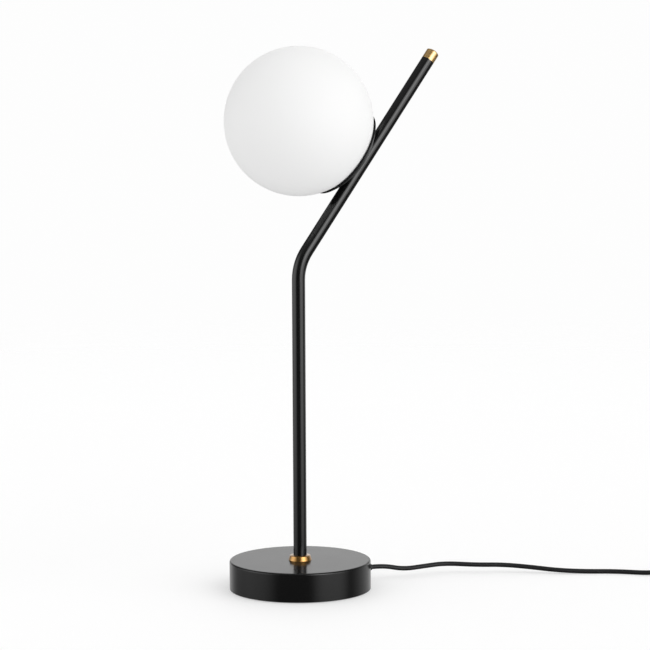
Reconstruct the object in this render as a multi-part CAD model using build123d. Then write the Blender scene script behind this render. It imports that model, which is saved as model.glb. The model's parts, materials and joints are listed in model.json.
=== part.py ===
from build123d import *
import os
from math import acos, asin, atan2, cos, hypot, pi, radians, sin, sqrt, tan

# Globe table lamp, in millimetres. The origin is on the floor under the middle of the base and Z is up.
# The stem bends in the XZ plane towards +X, and the lead leaves the base on that side.

# Fits
running_fit = 0.08  # a pivot in its bearing
close_fit = 0.15  # a shaft or spigot in its hole
loose_fit = 0.3  # curved faces that part by hand
brazed_gap = 0.05
broken_edge = 0.5  # rounding of small turned edges

# Base
base_diameter = 144.0
base_height = 30.0
cover_wall = 1.5
cover_round = 1.8
cover_lift = 0.8  # the cover's rim hangs this far above the floor
pad_thickness = 1.5
pad_inset = 5.0
plate_thickness = 1.5
chamber_diameter = 52.0
screw_count = 3
screw_circle_diameter = 104.0
screw_diameter = 4.0
screw_head = 6.8
screw_length = 14.0

# Stem and arm, one bent tube
tube_diameter = 13.5
tube_wall = 1.6
corner_height = 332.0  # where the axes of stem and arm cross
bend_radius = 48.0
arm_tilt = 36.6  # degrees from upright
arm_length = 265.0  # from that crossing to the end of the brass cap
cap_length = 12.5
cap_crown = 2.4  # rise of its domed end
cap_round = 1.0
spigot_length = 12.0
collar_height = 5.2
collar_foot = 23.8
collar_rim = 20.8
collar_side = 4.6  # height of the collar's rim
collar_lip = 0.5  # flat left round the tube
nipple_wall = 1.5
nipple_grip = 25.0  # length of the nipple inside the tube
nipple_tail = 1.5  # length of the nipple past its nut
nipple_short = 1.5  # the arm's nipple ends this far below the lampholder's floor
nut_flats = 14.0
nut_height = 4.0
washer_diameter = 24.0
washer_thickness = 1.5

# Globe and dish
globe_diameter = 150.0
globe_wall = 3.0
globe_mouth = 52.0
globe_along_arm = 116.0  # from the crossing of the axes
dish_gap = 1.7
dish_wall = 1.8
dish_lip = 0.7  # wall at the rim
dish_spread = 38.3  # degrees from the dish's middle to its rim
dish_tilt = 3.8  # degrees that the dish is turned up the arm
dish_round = 0.25
dish_saddle = 0.7  # depth of the arm's seat in the dish's back
gasket_play = 0.2
gasket_width = 5.0
gasket_inset = 3.0  # from the dish's rim
carrier_floor = 5.0
carrier_wall = 1.8
carrier_rise = 12.0
ring_wall = 1.6
ring_lip = 3.0
ring_lip_height = 1.8

# Lampholder and bulb
holder_diameter = 26.0
holder_wall = 2.0
holder_floor = 4.0
holder_cap_height = 12.0
holder_barrel_height = 24.0
holder_round = 1.5
shell_bore = 14.4
shell_wall = 0.4
shell_height = 18.0
contact_strip = 12.0
contact_thickness = 0.8
contact_dome = 4.0
contact_rise = 0.8
terminal_length = 5.0
terminal_width = 2.4
terminal_height = 5.0
bulb_diameter = 45.0
bulb_drop = 35.0  # from the ball's centre to the cap's rim
bulb_wall = 1.0
bulb_cap_height = 17.0
bulb_cap_wall = 0.4
bulb_tip_diameter = 4.8
bulb_tip_height = 1.5
bulb_insulator_height = 2.0
bulb_neck_depth = 5.0

# Lead
cord_diameter = 4.8
arc_share = 0.45  # part of the shorter run that a bend's arc takes up
wire_diameter = 1.8
wire_spacing = 2.6
wire_bend = 6.0
wire_reach = 16.0  # bare wires before they turn into the lampholder
lead_height = 13.8  # where the lead goes through the base's wall
lead_turn = 7.0  # bend of the lead under the stem
lead_room = 1.6  # between the lead and the base's plate
lead_bend = 24.0
lead_straight = 12.0  # inside the bush, before the lead dips
bush_reach = 10.5  # outside the wall
bush_root = 9.6
bush_tip = 6.8
bush_neck = 9.0
bush_flange = 14.0
bush_flange_height = 2.0
bush_tail = 8.0  # inside the flange
bush_collar = 12.0
bush_collar_height = 1.4

# In-line switch, lying on the floor along the lead
switch_x = 428.6
switch_y = -140.9
switch_heading = -10.0
switch_length = 62.0
switch_width = 24.0
switch_height = 17.0
switch_end = 13.0  # width of its narrow ends
switch_waist = 16.0  # length of its parallel middle
switch_wall = 1.6
switch_round = 3.0
switch_foot_round = 1.0
rocker_length = 19.0
rocker_width = 10.0
rocker_rise = 5.0  # its ends above the pivot
rocker_dip = 1.4  # hollow of its thumb face
rocker_depth = 3.2
rocker_hollow = 12.0  # radius of the thumb face
rocker_round = 0.9
rocker_throw = 16.0  # degrees between off and on
pivot_drop = 4.0  # from the cover's top to the pivot
pivot_diameter = 3.0
pivot_length = 1.8
cheek_length = 7.0
cheek_wall = 2.0
cheek_drop = 2.5
clip_length = 10.0
clip_width = 4.4
clip_rise = 1.3  # above the middle of the case
clip_face = 22.0  # from the middle of the switch to where the lead's wires are clamped
case_screw_diameter = 2.4
case_screw_head = 4.6
case_screw_head_height = 1.6
case_screw_sink = 0.4
case_screw_cover = 4.5  # plastic left over the screw's tip
case_screw_x = 15.0
case_screw_y = 5.6
case_boss = 5.2

# Coil of the lead that is put away, its tie and its plug
coil_inner = 19.4  # radius of the innermost turn
coil_gap = 0.45
coil_quarters_in = 14
coil_quarters_out = 15
coil_lead_in = 45.0  # from the switch's clamp to the first turn
coil_straight = 17.0
coil_lead_out = 26.0
coil_tail = 6.0
tie_thickness = 0.8
tie_width = 8.0
tie_gap = 0.4
tie_slack = 1.0
plug_length = 36.0
plug_width = 35.0
plug_thickness = 14.0
plug_neck = 13.0
plug_shoulder = 8.0
plug_flank = 22.0  # where the plug reaches its full width
plug_round = 2.4
plug_neck_round = 12.0
plug_flank_round = 8.0
plug_corner_round = 3.0
relief_length = 22.0
relief_root = 10.6
relief_tip = 7.0
relief_bore = 12.0
pin_diameter = 4.0
pin_length = 19.0
pin_spacing = 19.0
pin_root = 6.0
pin_nose = 1.4

# Worked out from the sizes above
base_r = base_diameter / 2
inner_r = base_r - cover_wall
weight_r = inner_r - loose_fit
plate_top = pad_thickness + plate_thickness
weight_top = base_height - cover_wall
tube_r = tube_diameter / 2
bore_r = tube_r - tube_wall
thread_r = bore_r - close_fit
nipple_bore = thread_r - nipple_wall
cord_r = cord_diameter / 2
lead_low = plate_top + lead_room + cord_r
nipple_foot = lead_low + lead_turn
roof = nipple_foot + nipple_tail + nut_height + washer_thickness
globe_r = globe_diameter / 2
dish_in = globe_r + dish_gap
dish_out = dish_in + dish_wall
arm_offset = dish_out - dish_saddle + tube_r
corner = Vector(0, 0, corner_height)
arm_dir = Vector(sin(radians(arm_tilt)), 0, cos(radians(arm_tilt)))
head_dir = Vector(-cos(radians(arm_tilt)), 0, sin(radians(arm_tilt)))
globe_centre = corner + arm_dir * globe_along_arm + head_dir * arm_offset
arm_frame = Plane(origin=corner, x_dir=Vector(0, 1, 0), z_dir=arm_dir)
head_frame = Plane(origin=globe_centre, x_dir=arm_dir, z_dir=head_dir)
bush_frame = Plane(origin=(0, 0, lead_height), x_dir=Vector(0, 1, 0), z_dir=Vector(1, 0, 0))
switch_place = Pos(switch_x, switch_y, 0) * Rot(0, 0, switch_heading)
switch_split = switch_height / 2
pivot_height = switch_height - pivot_drop
coil_pitch = cord_diameter + coil_gap
coil_low = tie_thickness + tie_gap + cord_r
coil_high = coil_low + coil_pitch
coil_start_r = coil_inner + coil_pitch * coil_quarters_in / 4
coil_end_r = coil_inner + coil_pitch * coil_quarters_out / 4
coil_place = switch_place * Pos(clip_face + coil_lead_in, coil_start_r, 0) * Rot(0, 0, -90)
plug_place = coil_place * Pos(-coil_lead_out - coil_tail, coil_end_r, plug_thickness / 2) * Rot(0, 0, 180)

# Heights in the head, measured from the globe's centre towards the bulb's end
carrier_seat = dish_in - loose_fit
carrier_top = carrier_floor - carrier_seat
carrier_nut_top = carrier_top + nut_height
holder_cap_top = carrier_nut_top + holder_cap_height
holder_seat = holder_cap_top + holder_floor
bulb_foot = holder_seat + contact_thickness + contact_rise
mouth_r = globe_mouth / 2
ring_r = mouth_r - loose_fit
carrier_r = ring_r - ring_wall - loose_fit


def turned(outline):
    # A turned piece about Z from corners given as radius, height and the rounding of that corner.
    corners = [(radius, 0, height) for radius, height, _ in outline]
    rounds = [rounding for _, _, rounding in outline]
    return revolve(make_face(FilletPolyline(*corners, radius=rounds, close=True)), Axis.Z)


def sleeve(outer, inner, low, high):
    return turned([(inner, low, 0), (outer, low, 0), (outer, high, 0), (inner, high, 0)])


def on_sphere(radius, angle):
    # A point in the XZ plane, at an angle from the sphere's lowest point.
    return Vector(radius * sin(angle), 0, -radius * cos(angle))


def meridian(radius, start, end):
    middle = on_sphere(radius, (start + end) / 2)
    return ThreePointArc(on_sphere(radius, start), middle, on_sphere(radius, end))


def spun_shell(inner, outer, inner_start, outer_start, inner_end, outer_end):
    # A shell between two spheres about the origin, between two angles from the lowest point.
    inside = meridian(inner, inner_start, inner_end)
    outside = meridian(outer, outer_end, outer_start)
    far_edge = Line(inside @ 1, outside @ 0)
    near_edge = Line(outside @ 1, inside @ 0)
    return revolve(make_face([inside, far_edge, outside, near_edge]), Axis.Z)


def hex_nut(bore, low):
    profile = RegularPolygon(nut_flats / 2, 6, major_radius=False) - Circle(bore)
    return Pos(0, 0, low) * extrude(profile, nut_height)


def tube_along(path, radius):
    section = Plane(origin=path @ 0, z_dir=path % 0) * Circle(radius)
    return sweep(section, path=path)


# Base

def base_screw(play):
    # Countersunk screw, head down; play widens it into the hole that it needs.
    head = screw_head / 2 + play
    shank = screw_diameter / 2 + play
    cone_top = pad_thickness + head - shank
    tip = pad_thickness + screw_length + play
    return turned([
        (0, pad_thickness, 0), (head, pad_thickness, 0), (shank, cone_top, 0), (shank, tip, 0), (0, tip, 0),
    ])


def screw_spots():
    # The first spot stands half a step away from the lead's channel.
    return PolarLocations(screw_circle_diameter / 2, screw_count, start_angle=180 / screw_count)


def make_foot_pad():
    return Pos(0, 0, pad_thickness / 2) * Cylinder(base_r - pad_inset, pad_thickness)


def make_base_plate():
    plate = Pos(0, 0, pad_thickness + plate_thickness / 2) * Cylinder(weight_r, plate_thickness)
    return plate - [spot * base_screw(close_fit) for spot in screw_spots()]


def make_base_screws():
    return Compound(children=[spot * base_screw(0) for spot in screw_spots()])


def make_base_weight():
    hole = thread_r + close_fit
    chamber = chamber_diameter / 2
    iron = turned([
        (hole, roof, 0), (chamber, roof, 0), (chamber, plate_top, 0), (weight_r, plate_top, 0),
        (weight_r, weight_top, cover_round), (hole, weight_top, 0),
    ])
    half_width = bush_flange / 2 + loose_fit
    arch = bush_frame * Pos(0, 0, base_r / 2) * Cylinder(half_width, base_r)
    trench = Pos(base_r / 2, 0, lead_height / 2) * Box(base_r, 2 * half_width, lead_height)
    channel = (arch + trench) - Pos(0, 0, lead_height) * Cylinder(chamber / 2, 2 * base_height)
    return iron - channel - [spot * base_screw(close_fit) for spot in screw_spots()]


def make_base_cover():
    hole = thread_r + close_fit
    inner_round = max(cover_round - cover_wall, 0)
    cover = turned([
        (hole, base_height, 0), (base_r, base_height, cover_round), (base_r, cover_lift, 0),
        (inner_r, cover_lift, 0), (inner_r, weight_top, inner_round), (hole, weight_top, 0),
    ])
    return cover - bush_frame * Pos(0, 0, base_r) * Cylinder(bush_neck / 2 + close_fit, base_r)


def make_cord_bush():
    # Grommet in the cover's wall, with a tapered sleeve outside and a straight tail inside.
    lead_bore = cord_r + close_fit
    inner_face = sqrt(inner_r**2 - (bush_flange / 2)**2) - close_fit
    outer_face = base_r + close_fit
    flange_back = inner_face - bush_flange_height
    collar_front = outer_face + bush_collar_height
    tail = flange_back - bush_tail
    tip = base_r + bush_reach
    bush = turned([
        (lead_bore, tail, 0), (bush_neck / 2, tail, 0), (bush_neck / 2, flange_back, 0),
        (bush_flange / 2, flange_back, 0), (bush_flange / 2, inner_face, 0), (bush_neck / 2, inner_face, 0),
        (bush_neck / 2, outer_face, 0), (bush_collar / 2, outer_face, 0),
        (bush_collar / 2, collar_front, broken_edge), (bush_root / 2, collar_front, 0),
        (bush_tip / 2, tip, broken_edge), (lead_bore, tip, 0),
    ])
    return bush_frame * bush


# Stem

def stem_line(low, end):
    # The tube's centre line from a height in the base to a length along the arm.
    return FilletPolyline((0, 0, low), corner, corner + arm_dir * end, radius=bend_radius)


def make_stem():
    line = stem_line(base_height, arm_length - cap_length)
    tube = tube_along(line, tube_r) - tube_along(line, bore_r)
    wire_hole = head_frame * Pos(0, 0, tube_r - arm_offset) * Cylinder(nipple_bore, tube_diameter)
    return tube - wire_hole


def make_stem_collar():
    hole = tube_r + close_fit
    foot = collar_foot / 2
    top = base_height + collar_height
    rim_height = base_height + collar_side
    return turned([
        (hole, base_height, 0), (foot, base_height, 0), (collar_rim / 2, rim_height, broken_edge),
        (hole + collar_lip, top, 0), (hole, top, 0),
    ])


def make_stem_nipple():
    return sleeve(thread_r, nipple_bore, nipple_foot, base_height + nipple_grip)


def make_stem_washer():
    return sleeve(washer_diameter / 2, thread_r + close_fit, roof - washer_thickness, roof)


def make_stem_nut():
    return hex_nut(thread_r + close_fit, roof - washer_thickness - nut_height)


def make_end_cap():
    rim = arm_length - cap_length
    spigot = bore_r - close_fit
    spigot_end = rim - spigot_length
    dome_r = (tube_r**2 + cap_crown**2) / (2 * cap_crown)
    head = Pos(0, 0, rim + cap_length / 2) * Cylinder(tube_r, cap_length)
    head &= Pos(0, 0, arm_length - dome_r) * Sphere(dome_r)
    rings = ShapeList(edge for edge in head.edges() if edge.is_closed)
    head = fillet(rings.sort_by(Axis.Z)[-1], cap_round)
    plug = turned([(0, spigot_end, 0), (spigot, spigot_end, broken_edge), (spigot, rim, 0), (0, rim, 0)])
    return arm_frame * (plug + head)


def make_inner_lead():
    # From the bush's tip through the base, up the stem and along the arm to the bare wires.
    tail = base_r - cover_wall - bush_flange_height - bush_tail
    points = [
        Vector(base_r + bush_reach, 0, lead_height), Vector(tail - lead_straight, 0, lead_height),
        Vector(chamber_diameter / 2, 0, lead_low), Vector(0, 0, lead_low), corner,
        corner + arm_dir * (globe_along_arm - wire_reach),
    ]
    path = FilletPolyline(*points, radius=[lead_bend, lead_bend, lead_turn, bend_radius])
    return tube_along(path, cord_r)


def make_lamp_wires():
    # The two wires turn from the arm's axis into the nipple and end under the terminals.
    top = holder_cap_top - terminal_height
    wires = []
    for side in (-wire_spacing / 2, wire_spacing / 2):
        points = [(-wire_reach, side, -arm_offset), (0, side, -arm_offset), (0, side, top)]
        wires.append(head_frame * tube_along(FilletPolyline(*points, radius=wire_bend), wire_diameter / 2))
    return Compound(children=wires)


# Head

def arm_seat():
    # The room that the tube takes up, seen from the head.
    return Pos(0, 0, -arm_offset) * Rot(0, 90, 0) * Cylinder(tube_r + brazed_gap, 2 * dish_out)


def make_arm_nipple():
    # Its foot is cut to the tube that it is brazed on.
    top = carrier_nut_top + holder_floor - nipple_short
    nipple = sleeve(thread_r, nipple_bore, -arm_offset, top)
    return head_frame * (nipple - arm_seat())


def up_the_arm():
    # Turns the dish and what lies in it about the globe's centre.
    return Rot(0, -dish_tilt, 0)


def make_globe_dish():
    # Its back is more tightly curved than its inside, so the wall thins from the middle to the lip.
    rim = radians(dish_spread)
    lip_r = dish_in + dish_lip
    reach = lip_r * sin(rim)
    depth = dish_out - lip_r * cos(rim)
    back_r = (reach**2 + depth**2) / (2 * depth)
    inside = meridian(dish_in, 0, rim)
    back = Pos(0, 0, back_r - dish_out) * meridian(back_r, asin(reach / back_r), 0)
    lip = Line(inside @ 1, back @ 0)
    middle = Line(back @ 1, inside @ 0)
    cap = revolve(make_face([inside, lip, back, middle]), Axis.Z)
    rim_edges = [edge for edge in cap.edges() if edge.is_closed]
    dish = up_the_arm() * fillet(rim_edges, dish_round)
    hole = Pos(0, 0, -dish_out) * Cylinder(thread_r + close_fit, dish_out)
    return head_frame * (dish - hole - arm_seat())


def make_globe_gasket():
    inner = globe_r + gasket_play
    outer = dish_in - gasket_play
    end = radians(dish_spread) - gasket_inset / outer
    start = end - gasket_width / outer
    return head_frame * up_the_arm() * spun_shell(inner, outer, start, start, end, end)


def make_globe_carrier():
    bore = thread_r + close_fit
    top = carrier_top + carrier_rise
    under = meridian(carrier_seat, asin(bore / carrier_seat), asin(carrier_r / carrier_seat))
    wall = Polyline(
        under @ 1, (carrier_r, 0, top), (carrier_r - carrier_wall, 0, top),
        (carrier_r - carrier_wall, 0, carrier_top), (bore, 0, carrier_top), under @ 0,
    )
    return head_frame * revolve(make_face([under, wall]), Axis.Z)


def make_carrier_nut():
    return head_frame * hex_nut(thread_r + close_fit, carrier_top)


def make_globe_ring():
    # It passes through the globe's mouth and hooks over the glass inside.
    lip_r = ring_r + ring_lip
    low = loose_fit - sqrt(dish_in**2 - ring_r**2)
    hook = loose_fit - sqrt((globe_r - globe_wall)**2 - lip_r**2)
    return head_frame * turned([
        (ring_r - ring_wall, low, 0), (ring_r, low, 0), (ring_r, hook, 0), (lip_r, hook, 0),
        (lip_r, hook + ring_lip_height, broken_edge), (ring_r - ring_wall, hook + ring_lip_height, 0),
    ])


def make_globe():
    inner = globe_r - globe_wall
    shell = spun_shell(inner, globe_r, asin(mouth_r / inner), asin(mouth_r / globe_r), pi, pi)
    return head_frame * shell


def make_lampholder_cap():
    bore = thread_r + close_fit
    cavity = holder_diameter / 2 - holder_wall
    low = carrier_nut_top
    return head_frame * turned([
        (bore, low, 0), (holder_diameter / 2, low, holder_round), (holder_diameter / 2, holder_cap_top, 0),
        (cavity, holder_cap_top, 0), (cavity, low + holder_floor, 0), (bore, low + holder_floor, 0),
    ])


def make_lampholder_barrel():
    bore = shell_bore / 2 + shell_wall + close_fit
    outer = holder_diameter / 2
    top = holder_cap_top + holder_barrel_height
    return head_frame * turned([
        (0, holder_cap_top, 0), (outer, holder_cap_top, 0), (outer, top, holder_round),
        (bore, top, 0), (bore, holder_seat, 0), (0, holder_seat, 0),
    ])


def make_lampholder_shell():
    bore = shell_bore / 2
    return head_frame * sleeve(bore + shell_wall, bore, holder_seat, holder_seat + shell_height)


def make_lampholder_contact():
    strip = Box(contact_strip, contact_dome, contact_thickness)
    strip = Pos(0, 0, holder_seat + contact_thickness / 2) * strip
    dome = Pos(0, 0, bulb_foot - contact_rise / 2) * Cylinder(contact_dome / 2, contact_rise)
    return head_frame * (strip + dome)


def make_lampholder_terminals():
    spread = max(wire_spacing, terminal_width + 2 * loose_fit)
    middle = holder_cap_top - terminal_height / 2
    block = Box(terminal_length, terminal_width, terminal_height)
    return head_frame * Compound(children=[Pos(0, side * spread / 2, middle) * block for side in (-1, 1)])


def bulb_form(inset, foot):
    # The bulb's outline: a neck, a cone and the ball that it runs into, drawn in by a wall's thickness.
    neck = shell_bore / 2 - close_fit - bulb_cap_wall - close_fit - inset
    ball = bulb_diameter / 2 - inset
    centre = bulb_foot + bulb_tip_height + bulb_insulator_height + bulb_cap_height + bulb_drop
    touch = atan2(neck, bulb_drop) + acos(ball / hypot(neck, bulb_drop))
    seam = on_sphere(ball, touch) + Vector(0, 0, centre)
    side = on_sphere(ball, (touch + pi) / 2) + Vector(0, 0, centre)
    top = Vector(0, 0, centre + ball)
    neck_line = Polyline((0, 0, foot), (neck, 0, foot), (neck, 0, centre - bulb_drop), seam)
    dome = ThreePointArc(seam, side, top)
    return revolve(make_face([neck_line, dome, Line(top, (0, 0, foot))]), Axis.Z)


def make_bulb_envelope():
    foot = bulb_foot + bulb_tip_height + bulb_insulator_height + bulb_cap_height - bulb_neck_depth
    return head_frame * (bulb_form(0, foot) - bulb_form(bulb_wall, foot + bulb_wall))


def make_bulb_cap():
    low = bulb_foot + bulb_tip_height + bulb_insulator_height
    outer = shell_bore / 2 - close_fit
    inner = outer - bulb_cap_wall
    high = low + bulb_cap_height
    return head_frame * turned([
        (0, low, 0), (outer, low, bulb_cap_wall), (outer, high, 0), (inner, high, 0),
        (inner, low + bulb_cap_wall, 0), (0, low + bulb_cap_wall, 0),
    ])


def make_bulb_contact():
    tip = bulb_tip_diameter / 2
    step = bulb_foot + bulb_tip_height
    top = step + bulb_insulator_height
    rim = shell_bore / 2 - 2 * close_fit - bulb_cap_wall
    return head_frame * turned([
        (0, bulb_foot, 0), (tip, bulb_foot, broken_edge), (tip, step, 0), (rim, top, 0), (0, top, 0),
    ])


# Lead, switch, coil and plug

def along_switch(forward, height):
    # A point on the switch's long axis.
    heading = radians(switch_heading)
    return (switch_x + forward * cos(heading), switch_y + forward * sin(heading), height)


def lead_route():
    # Out of the bush, down to the floor in the lead's loose bends, and up into the switch.
    return [
        (base_r + bush_reach, 0, lead_height), (97, 0, lead_height), (118, -5.5, 9.0), (142, -5.6, 9.7),
        (168, -5.4, 10.2), (196, -21.3, 8.5), (222, -32.8, 8.2), (246, -48, 6.0), (268, -67, 3.7),
        (294, -81.4, cord_r), (322, -96, cord_r), (347, -121.2, cord_r), along_switch(-60, 4.4),
        along_switch(-41, switch_split), along_switch(-clip_face, switch_split),
    ]


def make_cord_free():
    points = [Vector(*point) for point in lead_route()]
    radii = []
    for before, here, after in zip(points, points[1:], points[2:]):
        shorter = min((here - before).length, (after - here).length)
        half_turn = radians((here - before).get_angle(after - here)) / 2
        radii.append(arc_share * shorter / tan(half_turn))
    path = FilletPolyline(*points, radius=radii)
    cord = tube_along(path, cord_r)
    print("lead radii", [round(radius, 1) for radius in radii], "length", round(path.length, 1))
    print("lead volume over section times length", round(cord.volume / (pi * cord_r**2 * path.length), 5))
    return cord


def biarc(start, start_dir, end, end_dir):
    # Two arcs, tangent to each other, from one place and direction to another.
    chord = end - start
    reach = chord.dot(start_dir + end_dir)
    spread = 2 * (1 - start_dir.dot(end_dir))
    if spread < 1e-9:
        arm = chord.dot(chord) / (2 * reach)
    else:
        arm = (sqrt(reach**2 + spread * chord.dot(chord)) - reach) / spread
    first = start + start_dir * arm
    second = end - end_dir * arm
    middle = (first + second) * 0.5
    return [TangentArc(start, middle, tangent=start_dir), TangentArc(middle, end, tangent=second - first)]


def coil_station(quarter):
    # Place and direction after so many quarter turns: inwards on top, down a layer, and outwards below.
    steps = quarter - coil_quarters_in
    angle = quarter * pi / 2
    radius = coil_inner + coil_pitch * abs(steps) / 4
    descent = min(max(steps, -1), 1)
    height = (coil_low + coil_high) / 2 - descent * coil_pitch / 2
    steepest = 1.5 * coil_pitch / (pi * coil_inner)  # of a smooth step down over half a turn
    slope = -steepest if steps == 0 else 0
    place = Vector(radius * cos(angle), radius * sin(angle), height)
    return place, Vector(-sin(angle), cos(angle), slope).normalized()


def coil_path():
    # From the switch's clamp onto the coil, round its turns, and out to the plug.
    stations = [coil_station(quarter) for quarter in range(coil_quarters_in + coil_quarters_out + 1)]
    forward = Vector(0, 1, 0)
    clamp = Vector(coil_start_r, -coil_lead_in, switch_split)
    leave = clamp + forward * coil_straight
    sideways = Vector(-1, 0, 0)
    meet = Vector(-coil_lead_out, coil_end_r, plug_thickness / 2)
    finish = meet + sideways * (coil_tail + relief_bore)
    edges = [Line(clamp, leave)]
    places = [(leave, forward)] + stations + [(meet, sideways)]
    for (start, start_dir), (end, end_dir) in zip(places, places[1:]):
        edges += biarc(start, start_dir, end, end_dir)
    return Wire(edges + [Line(meet, finish)])


def least_self_gap(path, step):
    # Least room between two stretches of a tube that are more than half a turn apart along it.
    count = int(path.length / step)
    points = [path.position_at(index / count) for index in range(count + 1)]
    apart = int(pi * coil_inner / step)
    least = min((points[i] - points[j]).length for i in range(count + 1) for j in range(i + apart, count + 1))
    return least - cord_diameter


def make_cord_coil():
    path = coil_path()
    coil = tube_along(path, cord_r)
    print("coil least gap to itself", round(least_self_gap(path, 2.0), 3), "length", round(path.length, 1))
    print("coil volume over section times length", round(coil.volume / (pi * cord_r**2 * path.length), 5))
    return coil_place * coil


def make_cord_tie():
    # Flat band round the bundle, at the side where the coil changes layer.
    near = coil_inner - cord_r - tie_slack
    far = coil_start_r - coil_pitch / 2 + cord_r + tie_slack
    height = coil_high + cord_r + tie_gap - tie_thickness
    window = Rectangle(far - near, height)
    band = offset(window, tie_thickness) - window
    middle = (-(near + far) / 2, tie_width / 2, tie_thickness + height / 2)
    section = Plane(origin=middle, x_dir=(1, 0, 0), z_dir=(0, -1, 0))
    return coil_place * extrude(section * band, tie_width)


def switch_outline(inset):
    # Boat-shaped plan: a parallel middle drawn in to narrow round ends.
    half_waist = switch_waist / 2
    half_reach = (switch_length - switch_end) / 2
    rounds = []
    for side in (-1, 1):
        rounds += (Pos(side * half_waist, 0) * Circle(switch_width / 2 - inset)).edges()
        rounds += (Pos(side * half_reach, 0) * Circle(switch_end / 2 - inset)).edges()
    return make_hull(rounds)


def case_screw(play):
    head = case_screw_head / 2 + play
    shank = case_screw_diameter / 2 + play
    foot = 0 if play else case_screw_sink
    seat = case_screw_sink + case_screw_head_height
    tip = switch_height - case_screw_cover + play
    return turned([
        (0, foot, 0), (head, foot, 0), (head, seat, 0), (shank, seat, 0), (shank, tip, 0), (0, tip, 0),
    ])


def case_screw_spots():
    return [Pos(case_screw_x, -case_screw_y, 0), Pos(-case_screw_x, case_screw_y, 0)]


def lead_holes():
    return Pos(0, 0, switch_split) * Rot(0, 90, 0) * Cylinder(cord_r + close_fit, 2 * switch_length)


def case_bosses(low, high):
    boss = Pos(0, 0, (low + high) / 2) * Cylinder(case_boss / 2, high - low)
    return [spot * boss for spot in case_screw_spots()]


def make_switch_base():
    tray = extrude(switch_outline(0), switch_split)
    tray = fillet(tray.edges().group_by(Axis.Z)[0], switch_foot_round)
    hollow = Pos(0, 0, switch_wall) * extrude(switch_outline(switch_wall), switch_split)
    hollow -= case_bosses(0, switch_height)
    holes = [spot * case_screw(close_fit) for spot in case_screw_spots()]
    return switch_place * (tray - hollow - lead_holes() - holes)


def make_switch_cover():
    lid = Pos(0, 0, switch_split) * extrude(switch_outline(0), switch_height - switch_split)
    lid = fillet(lid.edges().group_by(Axis.Z)[-1], switch_round)
    ceiling = switch_height - switch_wall
    hollow = Pos(0, 0, switch_split) * extrude(switch_outline(switch_wall), ceiling - switch_split)
    hollow = fillet(hollow.edges().group_by(Axis.Z)[-1], switch_round - switch_wall)
    hollow -= case_bosses(0, switch_height)
    cheek_foot = pivot_height - cheek_drop
    cheek_middle = rocker_width / 2 + loose_fit + cheek_wall / 2
    cheek = Box(cheek_length, cheek_wall, ceiling - cheek_foot)
    for side in (-1, 1):
        hollow -= Pos(0, side * cheek_middle, (ceiling + cheek_foot) / 2) * cheek
    half_throw = radians(rocker_throw / 2)
    sweep_half = rocker_length / 2 * cos(half_throw) + rocker_rise * sin(half_throw)
    window = Box(2 * (sweep_half + loose_fit), rocker_width + 2 * loose_fit, 2 * switch_wall)
    bearing = Rot(90, 0, 0) * Cylinder(pivot_diameter / 2 + running_fit, 2 * cheek_middle + cheek_wall)
    holes = [spot * case_screw(close_fit) for spot in case_screw_spots()]
    lid -= hollow + lead_holes() + Pos(0, 0, switch_height) * window + Pos(0, 0, pivot_height) * bearing
    return switch_place * (lid - holes)


def make_switch_rocker():
    # At rest it is tipped to its off side.
    half = rocker_length / 2
    outline = FilletPolyline(
        (-half, 0, rocker_rise), (0, 0, rocker_rise - rocker_dip), (half, 0, rocker_rise),
        (half, 0, 0), (half / 2, 0, -rocker_depth), (-half / 2, 0, -rocker_depth), (-half, 0, 0),
        radius=[rocker_round, rocker_hollow] + [rocker_round] * 5, close=True,
    )
    body = extrude(make_face(outline), rocker_width / 2, dir=(0, 1, 0), both=True)
    pivot = Rot(90, 0, 0) * Cylinder(pivot_diameter / 2, rocker_width + 2 * pivot_length)
    return switch_place * Pos(0, 0, pivot_height) * Rot(0, -rocker_throw / 2, 0) * (body + pivot)


def make_switch_terminals():
    top = switch_split + clip_rise
    clip = Box(clip_length, clip_width, top - switch_wall)
    clip = Pos(clip_face - clip_length / 2, 0, (switch_wall + top) / 2) * clip
    return switch_place * Compound(children=[Rot(0, 0, turn) * clip for turn in (0, 180)])


def make_switch_screws():
    return switch_place * Compound(children=[spot * case_screw(0) for spot in case_screw_spots()])


def plug_pin(play):
    # A round-nosed pin along X, with its root inside the plug.
    radius = pin_diameter / 2 + play
    end = plug_length + pin_length
    root = plug_length - pin_root
    return Rot(0, 90, 0) * turned([(0, root, 0), (radius, root, 0), (radius, end, pin_nose), (0, end, 0)])


def pin_spots():
    return [Pos(0, side * pin_spacing / 2, 0) for side in (-1, 1)]


def make_plug_body():
    # Flat two-pin plug: a moulded body that narrows into a tapered sleeve for the lead.
    half = plug_width / 2
    neck = plug_neck / 2
    right_side = [(0, -neck), (plug_shoulder, -neck), (plug_flank, -half), (plug_length, -half)]
    left_side = [(x, -y) for x, y in reversed(right_side)]
    rounds = [0, plug_neck_round, plug_flank_round, plug_corner_round]
    plan = make_face(FilletPolyline(*right_side, *left_side, radius=rounds + rounds[::-1], close=True))
    body = Pos(0, 0, -plug_thickness / 2) * extrude(plan, plug_thickness)
    body = fillet(body.edges().group_by(Axis.Z)[0] + body.edges().group_by(Axis.Z)[-1], plug_round)
    body -= [spot * plug_pin(brazed_gap) for spot in pin_spots()]
    lead_bore = cord_r + close_fit
    relief = turned([
        (0, relief_bore, 0), (lead_bore, relief_bore, 0), (lead_bore, 0, 0), (relief_tip / 2, 0, 0),
        (relief_root / 2, relief_length, 0), (0, relief_length, 0),
    ])
    return plug_place * (Pos(relief_length, 0, 0) * body + Rot(0, 90, 0) * relief)


def make_plug_pins():
    pins = [Pos(relief_length, 0, 0) * spot * plug_pin(0) for spot in pin_spots()]
    return plug_place * Compound(children=pins)


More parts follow.
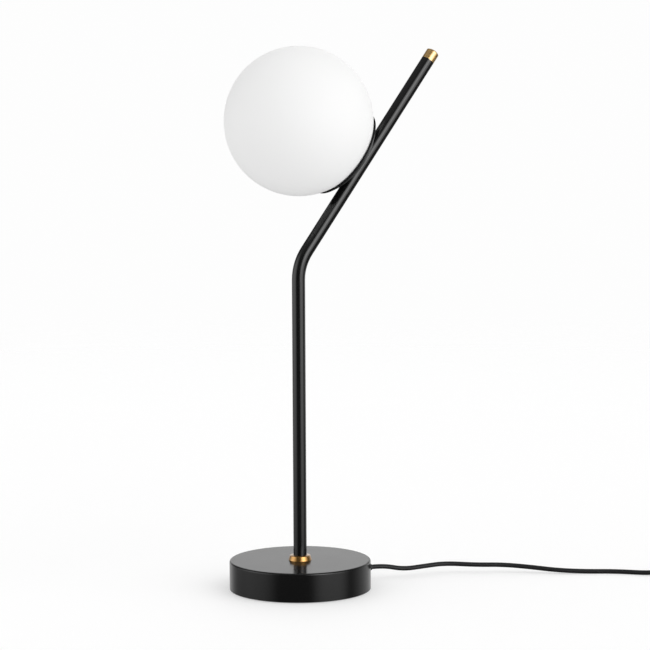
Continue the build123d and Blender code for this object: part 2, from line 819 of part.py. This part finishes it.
makers = {
    "foot_pad": make_foot_pad,
    "base_plate": make_base_plate,
    "base_screws": make_base_screws,
    "base_weight": make_base_weight,
    "base_cover": make_base_cover,
    "cord_bush": make_cord_bush,
    "stem_collar": make_stem_collar,
    "stem": make_stem,
    "stem_nipple": make_stem_nipple,
    "stem_washer": make_stem_washer,
    "stem_nut": make_stem_nut,
    "end_cap": make_end_cap,
    "inner_lead": make_inner_lead,
    "lamp_wires": make_lamp_wires,
    "arm_nipple": make_arm_nipple,
    "globe_dish": make_globe_dish,
    "globe_gasket": make_globe_gasket,
    "globe_carrier": make_globe_carrier,
    "carrier_nut": make_carrier_nut,
    "globe_ring": make_globe_ring,
    "globe": make_globe,
    "lampholder_cap": make_lampholder_cap,
    "lampholder_barrel": make_lampholder_barrel,
    "lampholder_shell": make_lampholder_shell,
    "lampholder_contact": make_lampholder_contact,
    "lampholder_terminals": make_lampholder_terminals,
    "bulb_envelope": make_bulb_envelope,
    "bulb_cap": make_bulb_cap,
    "bulb_contact": make_bulb_contact,
    "cord_free": make_cord_free,
    "switch_base": make_switch_base,
    "switch_cover": make_switch_cover,
    "switch_rocker": make_switch_rocker,
    "switch_terminals": make_switch_terminals,
    "switch_screws": make_switch_screws,
    "cord_coil": make_cord_coil,
    "cord_tie": make_cord_tie,
    "plug_body": make_plug_body,
    "plug_pins": make_plug_pins,
}

os.makedirs("parts", exist_ok=True)
for node, make in makers.items():
    export_step(make(), f"parts/{node}.step")
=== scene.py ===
import bmesh
import bpy
import json
from math import cos, pi, radians, sin
from mathutils import Matrix, Vector


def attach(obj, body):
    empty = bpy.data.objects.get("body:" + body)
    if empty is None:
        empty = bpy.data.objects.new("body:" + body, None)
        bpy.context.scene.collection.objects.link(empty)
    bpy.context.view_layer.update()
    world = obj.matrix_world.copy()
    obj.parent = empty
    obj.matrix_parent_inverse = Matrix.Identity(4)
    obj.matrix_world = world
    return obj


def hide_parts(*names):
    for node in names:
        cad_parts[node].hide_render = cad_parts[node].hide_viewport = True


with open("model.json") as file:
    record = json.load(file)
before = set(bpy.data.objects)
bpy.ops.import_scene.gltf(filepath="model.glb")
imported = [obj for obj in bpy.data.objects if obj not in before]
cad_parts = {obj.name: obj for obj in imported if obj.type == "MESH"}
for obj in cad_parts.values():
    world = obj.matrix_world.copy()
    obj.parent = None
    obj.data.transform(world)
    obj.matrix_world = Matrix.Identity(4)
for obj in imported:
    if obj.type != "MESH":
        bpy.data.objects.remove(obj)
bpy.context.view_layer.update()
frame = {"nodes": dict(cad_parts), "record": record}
nodes = frame["nodes"]
scene = bpy.context.scene
scene.view_settings.view_transform = "Standard"
mm = 0.001
print("frame loaded,", len(nodes), "nodes")


# Camera, as the photograph was taken: from the left, a little above the globe
camera = {
    "lens": 144.0,
    "sensor": 36.0,
    "place": (-1.19668, -2.31654, 0.56142),
    "turn": 27.902,  # degrees from +Y towards +X
    "pitch": 6.372,
    "roll": -0.28,
    "far": 60.0,
}


def addCamera():
    data = bpy.data.cameras.new("camera")
    data.lens = camera["lens"]
    data.sensor_width = camera["sensor"]
    data.clip_end = camera["far"]
    eye = bpy.data.objects.new("camera", data)
    turn = Matrix.Rotation(radians(-camera["turn"]), 4, "Z")
    pitch = Matrix.Rotation(radians(90 - camera["pitch"]), 4, "X")
    roll = Matrix.Rotation(radians(camera["roll"]), 4, "Z")
    eye.matrix_world = Matrix.Translation(camera["place"]) @ turn @ pitch @ roll
    scene.collection.objects.link(eye)
    scene.camera = eye


addCamera()
print("camera placed")


# Shader nodes
class Wire:
    # A socket whose operators add Math nodes.
    def __init__(self, sheet, socket):
        self.sheet = sheet
        self.socket = socket

    def calc(self, operation, first, second):
        return self.sheet.add("ShaderNodeMath", {"operation": operation}, {0: first, 1: second})

    def __add__(self, other):
        return self.calc("ADD", self, other)

    def __radd__(self, other):
        return self.calc("ADD", other, self)

    def __sub__(self, other):
        return self.calc("SUBTRACT", self, other)

    def __rsub__(self, other):
        return self.calc("SUBTRACT", other, self)

    def __mul__(self, other):
        return self.calc("MULTIPLY", self, other)

    def __rmul__(self, other):
        return self.calc("MULTIPLY", other, self)


class Sheet:
    # A node tree that nodes are added to.
    def __init__(self, tree):
        self.tree = tree

    def add(self, kind, settings=None, sockets=None, output=0):
        node = self.tree.nodes.new(kind)
        for key, value in (settings or {}).items():
            setattr(node, key, value)
        for key, value in (sockets or {}).items():
            self.plug(node.inputs[key], value)
        return Wire(self, node.outputs[output])

    def plug(self, socket, value):
        if isinstance(value, Wire):
            self.tree.links.new(value.socket, socket)
        else:
            socket.default_value = value

    def place(self, turn=(0, 0, 0), scale=(1, 1, 1)):
        coords = self.add("ShaderNodeTexCoord", output="Object")
        return self.add("ShaderNodeMapping", {}, {"Vector": coords, "Rotation": turn, "Scale": scale})

    def noise(self, coords, scale, detail=2.0):
        return self.add("ShaderNodeTexNoise", {}, {"Vector": coords, "Scale": scale, "Detail": detail})

    def mix(self, factor, first, second):
        return self.add(
            "ShaderNodeMix", {"data_type": "RGBA"}, {"Factor": factor, "A": first, "B": second}, "Result",
        )

    def bump(self, height, distance):
        return self.add("ShaderNodeBump", {}, {"Height": height, "Distance": distance, "Strength": 1.0})


def newFinish(name, fixed):
    material = bpy.data.materials.new(name)
    material.use_nodes = True
    sheet = Sheet(material.node_tree)
    shader = material.node_tree.nodes["Principled BSDF"]
    for socket, value in fixed.items():
        shader.inputs[socket].default_value = value
    return material, sheet, shader


def grey(value):
    return (value, value, value, 1.0)


def shade(colour, share):
    return tuple(value * share for value in colour) + (1.0,)


def vary(middle, spread, pattern):
    # From the spread below the middle to the spread above it, as the pattern goes from 0 to 1.
    return middle - spread + pattern * (2 * spread)


def addPiece(name, data, slot, *stoodFor):
    piece = bpy.data.objects.new(name, data)
    scene.collection.objects.link(piece)
    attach(piece, "lamp")
    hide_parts(*stoodFor)
    return piece


# Lead: from the bush, through the switch and round the coil to the plug, as one line
lead = {
    "diameter": 4.8,
    "length": 1.8,
    "exit": (82.5, 0, 13.8),
    "switch": (428.6, -140.9),
    "heading": -10.0,
    "clamp": 22.0,  # from the switch's middle to where it grips the lead
    "middle": 8.5,  # height of the lead in the switch
    "coilInner": 19.4,
    "coilGap": 0.45,
    "coilLow": 3.6,
    "turnsIn": 3.5,
    "turnsOut": 3.75,
    "leadIn": 45.0,
    "inShares": (0.7, 0.35),  # where the points before the coil lie
    "leadOut": 26.0,
    "outShares": (0.5, 0.8),  # where the points after the coil lie
    "outRise": 0.6,
    "plugHeight": 7.0,
    "plugDrop": 0.2,
    "plugGrip": 18.0,
    "gripShare": 0.4,
    "steps": 16,  # points in each turn
    "roundness": 5,
    "smoothness": 6,
}


def alongSwitch(forward, height):
    heading = radians(lead["heading"])
    x, y = lead["switch"]
    return (x + forward * cos(heading), y + forward * sin(heading), height)


def leadRoute():
    # In the air behind the foot, down to the floor, then up into the switch and through it.
    onFloor = lead["diameter"] / 2
    return [
        lead["exit"], (97, 0, 13.8), (118, -5.5, 9.0), (142, -5.6, 9.7), (168, -5.4, 10.2), (196, -21.3, 8.5),
        (222, -32.8, 8.2), (246, -48, 6.0), (268, -67, 3.7), (294, -81.4, onFloor), (322, -96, onFloor),
        (347, -121.2, onFloor), alongSwitch(-60, 4.4), alongSwitch(-41, lead["middle"]),
        alongSwitch(-lead["clamp"], lead["middle"]), alongSwitch(lead["clamp"], lead["middle"]),
    ]


def coilRoute():
    # Inwards on the top layer, down a layer in half a turn, outwards on the bottom layer, then to the plug.
    pitch = lead["diameter"] + lead["coilGap"]
    startRadius = lead["coilInner"] + pitch * lead["turnsIn"]
    endRadius = lead["coilInner"] + pitch * lead["turnsOut"]
    topLayer = lead["coilLow"] + pitch
    step = 2 * pi / lead["steps"]
    far, near = lead["inShares"]
    points = [
        (startRadius, -lead["leadIn"] * far, lead["middle"]),
        (startRadius, -lead["leadIn"] * near, (lead["middle"] + topLayer) / 2),
    ]
    count = round((lead["turnsIn"] + lead["turnsOut"]) * lead["steps"])
    for index in range(count):
        angle = (index + 0.5) * step
        past = angle / (2 * pi) - lead["turnsIn"]  # turns past the innermost point
        radius = (lead["coilInner"] + pitch * abs(past)) / cos(step / 2)
        drop = min(max(2 * past + 0.5, 0), 1)
        height = topLayer - pitch * drop * drop * (3 - 2 * drop)
        points.append((radius * cos(angle), radius * sin(angle), height))
    near, far = lead["outShares"]
    points += [
        (-lead["leadOut"] * near, endRadius, lead["coilLow"] + lead["outRise"]),
        (-lead["leadOut"] * far, endRadius, lead["plugHeight"] - lead["plugDrop"]),
        (-lead["leadOut"] - lead["plugGrip"] * lead["gripShare"], endRadius, lead["plugHeight"]),
        (-lead["leadOut"] - lead["plugGrip"], endRadius, lead["plugHeight"]),
    ]
    place = Matrix.Translation((*lead["switch"], 0)) @ Matrix.Rotation(radians(lead["heading"]), 4, "Z")
    place = place @ Matrix.Translation((lead["clamp"] + lead["leadIn"], startRadius, 0))
    place = place @ Matrix.Rotation(radians(-90), 4, "Z")
    return [place @ Vector(point) for point in points]


def addLead():
    route = [Vector(point) * mm for point in leadRoute() + coilRoute()]
    curve = bpy.data.curves.new("leadLine", "CURVE")
    curve.dimensions = "3D"
    curve.use_fill_caps = True
    curve.bevel_resolution = lead["roundness"]
    spline = curve.splines.new("NURBS")
    spline.points.add(len(route) - 1)
    for point, place in zip(spline.points, route):
        point.co = (*place, 1.0)
    spline.order_u = 3
    spline.use_endpoint_u = True
    spline.resolution_u = lead["smoothness"]
    line = bpy.data.objects.new("leadLine", curve)
    scene.collection.objects.link(line)
    path = [vertex.co.copy() for vertex in bpy.data.meshes.new_from_object(line).vertices]
    curve.bevel_depth = lead["diameter"] / 2 * mm
    tube = bpy.data.meshes.new_from_object(line)
    bpy.data.objects.remove(line)
    tube.name = "lead"
    piece = addPiece("lead", tube, "lead_cover", "cord_free", "cord_coil")
    return piece


leadPiece = addLead()
print("lead laid,", len(leadPiece.data.polygons), "faces")


# Finishes: tone and gloss are how far colour and roughness vary
blackPaint = {
    "colour": 0.005,
    "roughness": 0.17,
    "level": 0.45,
    "grain": 1400.0,
    "relief": 0.000002,
    "cloud": 30.0,
    "tone": 0.15,
    "gloss": 0.03,
}
dishPaint = dict(blackPaint, roughness=0.42, level=0.25)


def makeBlackPaint(name, paint):
    material, sheet, shader = newFinish(name, {"Specular IOR Level": paint["level"]})
    coords = sheet.place()
    peel = sheet.noise(coords, paint["grain"])
    cloud = sheet.noise(coords, paint["cloud"])
    deep = grey(paint["colour"] * (1 - paint["tone"]))
    pale = grey(paint["colour"] * (1 + paint["tone"]))
    sheet.plug(shader.inputs["Base Color"], sheet.mix(cloud, deep, pale))
    sheet.plug(shader.inputs["Roughness"], vary(paint["roughness"], paint["gloss"], cloud))
    sheet.plug(shader.inputs["Normal"], sheet.bump(peel, paint["relief"]))
    return material


# Two copies of one brass: the collar's colour is darker than the cap's, which is painted shade on the collar
shadedCollarBrass = {"colour": (0.46, 0.235, 0.05), "roughness": 0.31, "lacquer": 1.5, "turn": (0, 0, 0)}
capBrass = {"colour": (0.72, 0.44, 0.13), "roughness": 0.42, "lacquer": 1.9, "turn": (0, radians(-36.6), 0)}
brushing = {
    "rings": (40, 40, 3000),
    "tone": 0.03,
    "gloss": 0.02,
    "relief": 0.000001,
    "lacquerRoughness": 0.14,
}


def makeSatinBrass(name, brass):
    # Lacquered brass, brushed round its axis.
    fixed = {
        "Metallic": 1.0, "Coat Weight": 1.0, "Coat Roughness": brushing["lacquerRoughness"],
        "Coat IOR": brass["lacquer"],
    }
    material, sheet, shader = newFinish(name, fixed)
    rings = sheet.noise(sheet.place(brass["turn"], brushing["rings"]), 1.0)
    light = shade(brass["colour"], 1 + brushing["tone"])
    deep = shade(brass["colour"], 1 - brushing["tone"])
    sheet.plug(shader.inputs["Base Color"], sheet.mix(rings, light, deep))
    sheet.plug(shader.inputs["Roughness"], vary(brass["roughness"], brushing["gloss"], rings))
    sheet.plug(shader.inputs["Normal"], sheet.bump(rings, brushing["relief"]))
    return material


opalGlass = {
    "colour": 0.88,
    "roughness": 0.5,
    "level": 0.1,
    "etch": 2500.0,
    "cloud": 14.0,
    "deep": (0.99, 0.99, 0.985),  # shares of the colour
    "pale": (1.01, 1.01, 1.01),
    "gloss": 0.05,
}


def makeOpalGlass():
    material, sheet, shader = newFinish("opalGlass", {"Specular IOR Level": opalGlass["level"]})
    coords = sheet.place()
    etch = sheet.noise(coords, opalGlass["etch"])
    cloud = sheet.noise(coords, opalGlass["cloud"])
    deep = shade(opalGlass["deep"], opalGlass["colour"])
    pale = shade(opalGlass["pale"], opalGlass["colour"])
    sheet.plug(shader.inputs["Base Color"], sheet.mix(cloud, deep, pale))
    sheet.plug(shader.inputs["Roughness"], vary(opalGlass["roughness"], opalGlass["gloss"], etch))
    return material


plain = {"detail": 4.0, "gloss": 0.06}


def makePlain(name, colour, roughness, metallic=0.0, grain=900.0, depth=0.00003, tone=0.2, level=0.5):
    # A moulded, cast or woven finish: speckled colour, uneven gloss and a fine relief.
    material, sheet, shader = newFinish(name, {"Metallic": metallic, "Specular IOR Level": level})
    coords = sheet.place()
    relief = sheet.noise(coords, grain, plain["detail"])
    dark = shade(colour, 1 - tone)
    light = shade(colour, 1 + tone)
    sheet.plug(shader.inputs["Base Color"], sheet.mix(relief, dark, light))
    sheet.plug(shader.inputs["Roughness"], vary(roughness, plain["gloss"], relief))
    sheet.plug(shader.inputs["Normal"], sheet.bump(relief, depth))
    return material


finishes = {
    "black_paint": makeBlackPaint("blackPaint", blackPaint),
    "brass": makeSatinBrass("shadedCollarBrass", shadedCollarBrass),
    "opal_glass": makeOpalGlass(),
    "bulb_glass": makePlain("frostedBulb", (0.86, 0.85, 0.82), 0.45, tone=0.02),
    "iron": makePlain("castIron", (0.06, 0.058, 0.056), 0.62, 0.6, 500.0, 0.0002),
    "steel": makePlain("zincSteel", (0.56, 0.56, 0.55), 0.34, 1.0, 700.0),
    "felt": makePlain("pressedFelt", (0.02, 0.02, 0.021), 0.95, 0.0, 1600.0, 0.0003, 0.5),
    "soft_rubber": makePlain("bushRubber", (0.014, 0.014, 0.014), 0.5),
    "lead_cover": makePlain("leadCover", (0.01, 0.01, 0.0105), 0.5, level=0.35),
    "black_plastic": makePlain("blackPlastic", (0.014, 0.014, 0.0145), 0.44),
    "white_plastic": makePlain("whitePlastic", (0.76, 0.75, 0.72), 0.4, tone=0.03),
    "contact_brass": makePlain("stampedBrass", (0.62, 0.45, 0.2), 0.3, 1.0),
    "wire_cover": makePlain("wireCover", (0.32, 0.16, 0.09), 0.45),
    "pin_metal": makePlain("nickelPins", (0.66, 0.65, 0.62), 0.22, 1.0),
}


def dress(piece, material):
    piece.data.materials.clear()
    piece.data.materials.append(material)


for part in frame["record"]["subparts"]:
    dress(nodes[part["node"]], finishes[part["material_slot"]])
dress(nodes["end_cap"], makeSatinBrass("capBrass", capBrass))
dress(nodes["globe_dish"], makeBlackPaint("dishPaint", dishPaint))
dress(leadPiece, finishes["lead_cover"])
print("finishes made,", len(finishes))


# Floor, backdrop and lights: a pale floor in a white studio, with a dark space behind the camera
studio = {
    "floorSize": 6.0,
    "floorColour": 0.62,
    "floorRoughness": 0.9,
    "fadeFrom": 1.3,  # the floor fades out between these distances
    "fadeTo": 2.6,
    "seen": 0.985,  # the floor and backdrop as the camera sees them
    "ambient": 0.77,
    "floorLight": 1.01,  # what falls on the open floor
    "bounce": 0.9,  # the floor as the globe sees it
    "front": 0.05,  # the dark space, as the finishes mirror it
    "boxSkirt": (-15, -5.5, 0.0),  # between these heights the softboxes fade to a share
    "screenSkirt": (-17, -9, 0.1),
}
# Lights, in degrees: sun and glows fall on the lamp, softboxes and screens are mirrored in its finishes
sun = {"azimuth": 54, "height": 28, "strength": 1.07, "spread": 70}
glows = {
    "left": {"azimuth": -90, "height": 0, "inner": 10, "outer": 60, "strength": 0.36},
    "rear": {"azimuth": 180, "height": 12, "inner": 6, "outer": 30, "strength": 2.2},
}
softboxes = {
    "key": {"azimuth": 34, "height": 19, "inner": 4, "outer": 26, "strength": 3.4},
    "low": {"azimuth": 53, "height": -4, "inner": 2, "outer": 38, "strength": 2.6},
    "fill": {"azimuth": -78, "height": 0, "inner": 4, "outer": 46, "strength": 1.85},
    "back": {"azimuth": 180, "height": 24, "inner": 14, "outer": 30, "strength": 0.21},
    "ceiling": {"azimuth": 0, "height": 90, "inner": 20, "outer": 70, "strength": 0.3},
}
screens = {
    "right": {"azimuth": 160, "height": -25, "inner": 5, "outer": 75, "strength": 0.84},
    "left": {"azimuth": -134, "height": -14, "inner": 6, "outer": 32, "strength": 0.4},
}


def fromCamera(azimuth, height=0):
    # The direction that is turned to the right of the way towards the camera, and raised.
    angle = radians(azimuth - camera["turn"])
    level = cos(radians(height))
    return Vector((sin(angle) * level, -cos(angle) * level, sin(radians(height))))


def addSun():
    data = bpy.data.lights.new("sun", "SUN")
    data.energy = sun["strength"]
    data.angle = radians(sun["spread"])
    holder = bpy.data.objects.new("sun", data)
    towards = fromCamera(sun["azimuth"], sun["height"])
    holder.matrix_world = towards.to_track_quat("Z", "Y").to_matrix().to_4x4()
    holder.visible_glossy = False  # the softboxes are what shines in the finishes
    scene.collection.objects.link(holder)


def addFloor():
    mesh = bmesh.new()
    bmesh.ops.create_grid(mesh, x_segments=1, y_segments=1, size=studio["floorSize"] / 2)
    data = bpy.data.meshes.new("floor")
    mesh.to_mesh(data)
    mesh.free()
    floor = bpy.data.objects.new("floor", data)
    floor.visible_glossy = False
    scene.collection.objects.link(floor)
    fixed = {
        "Base Color": grey(studio["floorColour"]), "Roughness": studio["floorRoughness"],
        "Specular IOR Level": 0.0, "Emission Strength": 1.0,
    }
    material, sheet, shader = newFinish("floor", fixed)
    lift = studio["bounce"] - studio["floorColour"] * studio["floorLight"]
    seen = sheet.add("ShaderNodeLightPath", output="Is Camera Ray")
    sheet.plug(shader.inputs["Emission Color"], seen * (studio["seen"] - studio["bounce"]) + lift)
    reach = sheet.add("ShaderNodeVectorMath", {"operation": "LENGTH"}, {0: sheet.place()}, "Value")
    fade = sheet.add(
        "ShaderNodeMapRange", {"interpolation_type": "SMOOTHSTEP"},
        {"Value": reach, "From Min": studio["fadeFrom"], "From Max": studio["fadeTo"]},
    )
    clear = sheet.add("ShaderNodeBsdfTransparent")
    whole = sheet.add("ShaderNodeMixShader", {}, {0: fade, 1: Wire(sheet, shader.outputs[0]), 2: clear})
    sheet.plug(material.node_tree.nodes["Material Output"].inputs["Surface"], whole)
    dress(floor, material)


def addWorld():
    world = bpy.data.worlds.new("studio")
    scene.world = world
    world.use_nodes = True
    sheet = Sheet(world.node_tree)
    background = world.node_tree.nodes["Background"]
    direction = sheet.add("ShaderNodeTexCoord", output="Generated")

    def patch(towards, outer, inner, low, high):
        # From low outside a circle of directions to high inside it.
        along = sheet.add(
            "ShaderNodeVectorMath", {"operation": "DOT_PRODUCT"}, {0: direction, 1: towards}, "Value",
        )
        sockets = {
            "Value": along, "From Min": cos(radians(outer)), "From Max": cos(radians(inner)),
            "To Min": low, "To Max": high,
        }
        return sheet.add("ShaderNodeMapRange", {"interpolation_type": "SMOOTHSTEP"}, sockets)

    def softbox(box):
        towards = fromCamera(box["azimuth"], box["height"])
        return patch(towards, box["outer"], box["inner"], 0.0, box["strength"])

    def skirted(boxes, skirt):
        low, high, share = skirt
        return sum(softbox(box) for box in boxes.values()) * patch((0, 0, 1), 90 - low, 90 - high, share, 1.0)

    path = "ShaderNodeLightPath"
    seen = sheet.add(path, output="Is Camera Ray")
    shiny = sheet.add(path, output="Is Glossy Ray") + sheet.add(path, output="Is Transmission Ray")
    diffuse = sum(softbox(box) for box in glows.values()) + studio["ambient"]
    boxes = skirted(softboxes, studio["boxSkirt"])
    mirrored = boxes + skirted(screens, studio["screenSkirt"]) + studio["front"]
    lit = shiny * mirrored + (1 - shiny) * diffuse
    sheet.plug(background.inputs["Strength"], seen * studio["seen"] + (1 - seen) * lit)
    background.inputs["Color"].default_value = grey(1.0)


addFloor()
addWorld()
addSun()
print("studio lit")
